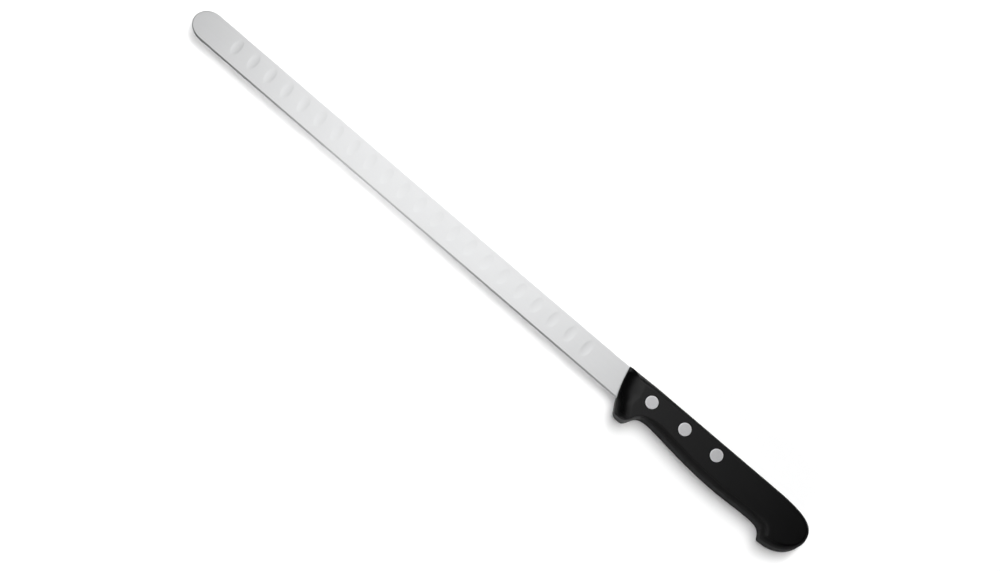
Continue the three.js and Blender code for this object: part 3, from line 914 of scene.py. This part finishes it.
def roughened(point):
    """How rough a point of the handle is left, for its finish.

    The flat side is polished and a wall is rough. The guard is worn smoother, most of all where it
    faces forward.
    """
    if abs(point.co.z) > HALF - MERGE:
        return 0
    x, _, z = point.normal
    steep = 1 - z ** 2
    front = x ** 2 / max(steep, MERGE) if x < 0 else 0
    worn = GUARD_WEAR * steep ** mix(1, FRONT_POLISH, front)
    return mix(worn, steep, passed(point.co.x, GUARD_BACK, NECK))


def make_left_scale():
    """Half of the handle: a flat face on the middle plane, a wall, and a side that rounds on to it."""
    stretches = handle_stretches()
    mitre_insets(stretches)
    stations = []
    for stretch in stretches:
        stations += list(zip(stretch.path, stretch.inner, stretch.lips))[:-1]
    seam = mitred([outer for outer, *_ in stations], [SEAM] * len(stations))
    rings = [
        [(p.x, p.y, 0) for p in seam],
        [(outer.x, outer.y, SEAM) for outer, *_ in stations],
    ]
    for k in range(ROUND_RINGS + 1):
        drawn_in, risen = rounding(crisp=0, share=k / ROUND_RINGS)
        ring = []
        for outer, inner, lip in stations:
            ring.append((*outer.lerp(inner, drawn_in), mix(lip, HALF, risen)))
        rings.append(ring)
    scale = loft("handle_scale_left", rings)
    recesses = round_cutters("head_recess", RIVET_HEAD / 2 + RIVET_RING, HEAD_SEAT, HALF + BEYOND)
    holes = round_cutters("rivet_hole", RIVET_HOLE, -BEYOND, HALF)
    cut(scale, front_cutter(), foot_cutter(), tang_slot(), recesses, holes)
    close_up(scale)
    note(scale, "steepness", roughened)
    return scale


def make_right_scale(left):
    right = copy_of(left, "handle_scale_right", Matrix.Scale(-1, 4, (0, 0, 1)))
    close_up(right)
    return right


def shade_scale(scale):
    """Shades the roundings smoothly and leaves the flat side flat."""
    smooth(scale, HANDLE_SMOOTH)
    tool = scale.modifiers.new("flat_side", "WEIGHTED_NORMAL")
    tool.keep_sharp = True
    bpy.ops.object.modifier_apply(modifier=tool.name)


# Rivets


def facing(side):
    """Picks the faces that look up, or down where the side is -1."""
    return lambda centre, normal: side * normal.z > FACING_LEAST


def extrude(height):
    bpy.ops.mesh.extrude_region_move(TRANSFORM_OT_translate={"value": (0, 0, height)})


def rivet_head(name, side):
    """A flat head with a softened rim, its face flush with that side of the handle."""
    head = add(
        name,
        bpy.ops.mesh.primitive_cylinder_add,
        vertices=ROUND_SEGMENTS,
        radius=RIVET_HEAD / 2,
        depth=RIVET_HEAD_THICKNESS,
        location=(0, 0, side * (HALF - RIVET_HEAD_THICKNESS / 2)),
    )
    bpy.ops.object.transform_apply(location=True)
    edit(head)
    select(head, facing(side))
    bpy.ops.mesh.bevel(offset=RIVET_HEAD_CHAMFER, segments=HEAD_BEVEL_STEPS, affect="EDGES")
    select(head, lambda centre, normal: side * centre.z > HALF - MERGE)
    bpy.ops.mesh.inset(thickness=RIVET_RIM)
    return head


def rim_highlight_share(point):
    """1 on the rim of a rivet's head and 0 elsewhere: where the rim is painted brighter, as a highlight.
    """
    return float(point.co.to_2d().length > RIVET_HEAD / 2 - RIVET_RIM)


def finish_rivet(half):
    leave_edit()
    close_up(half)
    smooth(half, HANDLE_SMOOTH)
    # Marks the rim, where the painted highlight goes
    note(half, "rim", rim_highlight_share)
    return half


def make_sleeve(name):
    """The hollow half: its head lies in the left side."""
    sleeve = rivet_head(name, 1)
    length = 2 * HEAD_SEAT - SLEEVE_END_GAP
    select(sleeve, facing(-1))
    bpy.ops.mesh.inset(thickness=(RIVET_HEAD - SLEEVE_DIAMETER) / 2)
    extrude(-length)
    bpy.ops.mesh.inset(thickness=(SLEEVE_DIAMETER - SLEEVE_BORE) / 2)
    extrude(length)
    return finish_rivet(sleeve)


def make_pin(name):
    """The solid half: its head lies in the right side, and its shank is driven into the sleeve."""
    pin = rivet_head(name, -1)
    select(pin, facing(1))
    bpy.ops.mesh.inset(thickness=(RIVET_HEAD - SLEEVE_BORE) / 2 + RIVET_CLEARANCE)
    extrude(2 * HEAD_SEAT - PIN_END_GAP)
    bpy.ops.mesh.bevel(offset=RIVET_HEAD_CHAMFER, segments=PIN_BEVEL_STEPS, affect="EDGES")
    return finish_rivet(pin)


# Finishes


class Field:
    """A value on a surface. Sums and products of fields and numbers add the nodes that they need."""

    def __init__(self, finish, socket):
        self.finish = finish
        self.socket = socket

    def math(self, operation, first, second):
        return self.finish.node("ShaderNodeMath", {"operation": operation}, {0: first, 1: second})

    def __add__(self, other):
        return self.math("ADD", self, other)

    def __radd__(self, other):
        return self.math("ADD", other, self)

    def __mul__(self, other):
        return self.math("MULTIPLY", self, other)

    def __rmul__(self, other):
        return self.math("MULTIPLY", other, self)


class Finish:
    """The nodes of one material or of the world."""

    def __init__(self, owner, output):
        owner.use_nodes = True
        self.tree = owner.node_tree
        self.tree.nodes.clear()
        self.output = self.tree.nodes.new(output)

    def node(self, kind, settings=None, sockets=None, output=0):
        """Any node: its settings first, then the values or links of its sockets."""
        made = self.tree.nodes.new(kind)
        for name, value in (settings or {}).items():
            setattr(made, name, value)
        for name, value in (sockets or {}).items():
            if isinstance(value, Field):
                self.tree.links.new(value.socket, made.inputs[name])
            else:
                made.inputs[name].default_value = value
        return Field(self, made.outputs[output])

    def shown(self, shader):
        self.tree.links.new(shader.socket, self.output.inputs["Surface"])

    def surface(self, sockets):
        self.shown(self.node("ShaderNodeBsdfPrincipled", sockets=sockets))

    def place(self, scale=(1, 1, 1), turn=(0, 0, 0)):
        """The point on the piece, in millimetres along each of its axes times the scale."""
        point = self.node("ShaderNodeTexCoord", output="Object")
        scale = tuple(value / MM for value in scale)
        return self.node("ShaderNodeMapping", sockets={"Vector": point, "Scale": scale, "Rotation": turn})

    def noise(self, point, scale, detail):
        sockets = {"Vector": point, "Scale": scale, "Detail": detail}
        return self.node("ShaderNodeTexNoise", sockets=sockets)

    def blend(self, share, first, second):
        """A colour between two others."""
        first, second = (value if isinstance(value, Field) else (*value, 1) for value in (first, second))
        return self.node("ShaderNodeMix", {"data_type": "RGBA"}, {0: share, 6: first, 7: second}, output=2)

    def noted(self, name):
        """A value that the piece keeps at its points."""
        return self.node("ShaderNodeAttribute", {"attribute_name": name}, output="Fac")

    def bump(self, height, distance, strength):
        sockets = {"Height": height, "Distance": distance, "Strength": strength}
        return self.node("ShaderNodeBump", sockets=sockets)

    def ray(self, kind):
        """1 for a ray of that kind and 0 for the others."""
        return self.node("ShaderNodeLightPath", output=f"Is {kind} Ray")


def new_finish(name):
    material = bpy.data.materials.new(name)
    return material, Finish(material, "ShaderNodeOutputMaterial")


def satin_steel():
    """Ground stainless steel: fine lines along the blade over a faintly uneven polish."""
    material, finish = new_finish("satin_steel")
    lines = finish.noise(finish.place(STEEL_LINES), 1, STEEL_DETAIL)
    clouds = finish.noise(finish.place(), STEEL_CLOUDS, STEEL_DETAIL)
    finish.surface({
        "Base Color": finish.blend(lines, STEEL_DARK, STEEL_LIGHT),
        "Metallic": 1.0,
        "Roughness": STEEL_ROUGHNESS + STEEL_LINE_ROUGHNESS * lines + STEEL_CLOUD_ROUGHNESS * clouds,
        "Normal": finish.bump(lines, STEEL_LINE_HEIGHT, STEEL_LINE_STRENGTH),
    })
    return material


def moulded_black():
    """Black plastic with the fine grain of its mould, polished on its flat side."""
    material, finish = new_finish("moulded_black")
    grain = finish.noise(finish.place(), GRAIN_SCALE, GRAIN_DETAIL)
    handling = finish.noise(finish.place(), HANDLING_SCALE, HANDLING_DETAIL)
    polish = PLASTIC_ROUGHNESS + GRAIN_ROUGHNESS * grain + HANDLING_ROUGHNESS * handling
    finish.surface({
        "Base Color": finish.blend(handling, BLACK_DEEP, BLACK_WORN),
        "Roughness": polish + STEEP_ROUGHNESS * finish.noted("steepness"),
        "IOR": PLASTIC_IOR,
        "Normal": finish.bump(grain, GRAIN_HEIGHT, GRAIN_STRENGTH),
    })
    return material


def ground_rivet():
    """Rivet metal ground flush with the handle, with a painted highlight: a brighter colour on its rim."""
    material, finish = new_finish("ground_rivet")
    lines = finish.noise(finish.place(RIVET_LINES, RIVET_LINE_TURN), 1, RIVET_DETAIL)
    face = finish.blend(lines, RIVET_DARK, RIVET_LIGHT)
    finish.surface({
        # The rim is painted brighter, as a highlight
        "Base Color": finish.blend(finish.noted("rim"), face, RIVET_RIM_HIGHLIGHT),
        "Metallic": RIVET_METALLIC,
        "Roughness": RIVET_ROUGHNESS + RIVET_LINE_ROUGHNESS * lines,
        "Normal": finish.bump(lines, RIVET_LINE_HEIGHT, RIVET_LINE_STRENGTH),
    })
    return material


# Table, light and camera


def make_table():
    """A white table that keeps its whiteness to the eye and in reflections, and takes the shadow."""
    table = add("table", bpy.ops.mesh.primitive_plane_add, size=FLOOR_SPAN)
    material, finish = new_finish("white_table")
    seen = finish.ray("Camera") + finish.ray("Glossy") + finish.ray("Transmission")
    matt = finish.node("ShaderNodeBsdfDiffuse", sockets={"Color": FLOOR_COLOUR})
    glow = finish.node("ShaderNodeEmission", sockets={"Strength": seen * FLOOR_GLOW})
    finish.shown(finish.node("ShaderNodeAddShader", sockets={0: matt, 1: glow}))
    table.data.materials.append(material)


def make_room():
    world = bpy.data.worlds.new("studio")
    bpy.context.scene.world = world
    finish = Finish(world, "ShaderNodeOutputWorld")
    finish.shown(finish.node("ShaderNodeBackground", sockets={"Color": ROOM}))


def hang(lamp, place=(0, 0, 1)):
    """Puts a lamp in the studio, out of the camera's sight."""
    holder = bpy.data.objects.new(lamp.name, lamp)
    holder.location = place
    holder.visible_camera = False
    bpy.context.scene.collection.objects.link(holder)
    return holder


def area_lamp(name, size, power):
    lamp = bpy.data.lights.new(name, "AREA")
    lamp.shape = "RECTANGLE"
    lamp.size, lamp.size_y = size
    lamp.energy = power
    return lamp


def panel(name, place, width, length, radiance):
    """A luminous panel that shows only mirrored in the knife. It looks down until it is turned."""
    power = radiance * math.pi * width * length
    holder = hang(area_lamp(name, (width, length), power), place)
    holder.visible_diffuse = False
    return holder


def panel_above(name, sides, ends, height, radiance):
    """A panel over the knife, between two sides and two ends."""
    left, right = sides
    near, far = ends
    place = ((left + right) / 2, (near + far) / 2, height)
    panel(name, place, right - left, far - near, radiance)


def hang_soft_box():
    """Panels in layers, each reaching further than the last, so that the soft box fades at its edges."""
    layers = len(SOFT_BOX_NEAR)
    for i, near in enumerate(SOFT_BOX_NEAR):
        share = i / (layers - 1)
        sides = (mix(*SOFT_BOX_LEFT, share), mix(*SOFT_BOX_RIGHT, share))
        height = SOFT_BOX_HEIGHT + i * SOFT_BOX_STEP
        panel_above(f"soft_box_{i}", sides, (near, SOFT_BOX_FAR), height, SOFT_BOX_RADIANCE / layers)


def hang_cards():
    for i, (left, right, radiance) in enumerate(CARDS):
        panel_above(f"card_{i}", (left, right), (CARD_NEAR, CARD_FAR), SOFT_BOX_HEIGHT, radiance)


def stand_walls(blade):
    """Upright panels around the knife, for the blade's edges alone to mirror."""
    mirrors = bpy.data.collections.new("wall_mirrors")
    mirrors.objects.link(blade)
    for name, bearing in WALLS.items():
        angle = math.radians(bearing)
        place = (-WALL_DISTANCE * math.sin(angle), WALL_DISTANCE * math.cos(angle), WALL_HEIGHT / 2)
        wall = panel(name, place, WALL_WIDTH, WALL_HEIGHT, WALL_RADIANCE)
        wall.rotation_euler = (-QUARTER, 0, angle)
        wall.light_linking.receiver_collection = mirrors


def daylight(name, lean, spread, strength):
    """Broad light from above, leaning towards the spine's side, that leaves no mirror image."""
    lamp = bpy.data.lights.new(name, "SUN")
    lamp.energy = strength
    lamp.angle = math.radians(spread)
    holder = hang(lamp)
    holder.rotation_euler = (-math.radians(lean), 0, 0)
    holder.visible_glossy = False


def fill_lamp(name, place, size, power):
    """A lamp on the cutting edge's side that lightens the shadow there and leaves no mirror image."""
    holder = hang(area_lamp(name, size, power), place)
    holder.rotation_euler = (FILL_TILT, 0, 0)
    holder.visible_glossy = False


def make_lights(blade):
    """What the knife mirrors, the daylight that it is seen by, and lamps to lighten its shadow."""
    hang_soft_box()
    hang_cards()
    stand_walls(blade)
    for name, light in DAYLIGHT.items():
        daylight(name, *light)
    for name, light in FILLS.items():
        fill_lamp(name, *light)


def make_camera():
    """Looks down on the left face, leaning towards the cutting edge, with the nose up on the left."""
    camera = bpy.data.cameras.new("camera")
    camera.sensor_width = SENSOR_WIDTH
    camera.lens = SENSOR_WIDTH * CAMERA_DISTANCE / (IMAGE_WIDTH * PIXEL)
    camera.clip_end = CLIP_END
    seen_from = Vector((0, -math.sin(CAMERA_LEAN), math.cos(CAMERA_LEAN)))
    turn = Matrix.Rotation(CAMERA_LEAN, 4, "X") @ Matrix.Rotation(CAMERA_ROLL, 4, "Z")
    holder = bpy.data.objects.new("camera", camera)
    holder.matrix_world = Matrix.Translation(CAMERA_AIM + CAMERA_DISTANCE * seen_from) @ turn
    bpy.context.scene.collection.objects.link(holder)
    bpy.context.scene.camera = holder


# The whole knife


def build_knife():
    """Makes every piece and puts it in its place. Returns the blade."""
    steel = satin_steel()
    plastic = moulded_black()
    metal = ground_rivet()
    left = make_left_scale()
    right = make_right_scale(left)
    for scale in (left, right):
        shade_scale(scale)
    blade = make_blade()
    settle(blade, "blade", steel)
    settle(left, "left_scale", plastic)
    settle(right, "right_scale", plastic)
    for half, make in (("sleeve", make_sleeve), ("pin", make_pin)):
        pattern = make(f"rivet_{half}")
        for station, x in RIVET_STATIONS.items():
            copy = copy_of(pattern, f"rivet_{half}_{station}", Matrix.Translation(rivet_place(x)))
            settle(copy, f"{station}_rivet_{half}", metal)
        bpy.data.objects.remove(pattern)
    return blade


knife_blade = build_knife()
make_table()
make_room()
make_lights(knife_blade)
make_camera()
bpy.context.scene.view_settings.view_transform = "Standard"
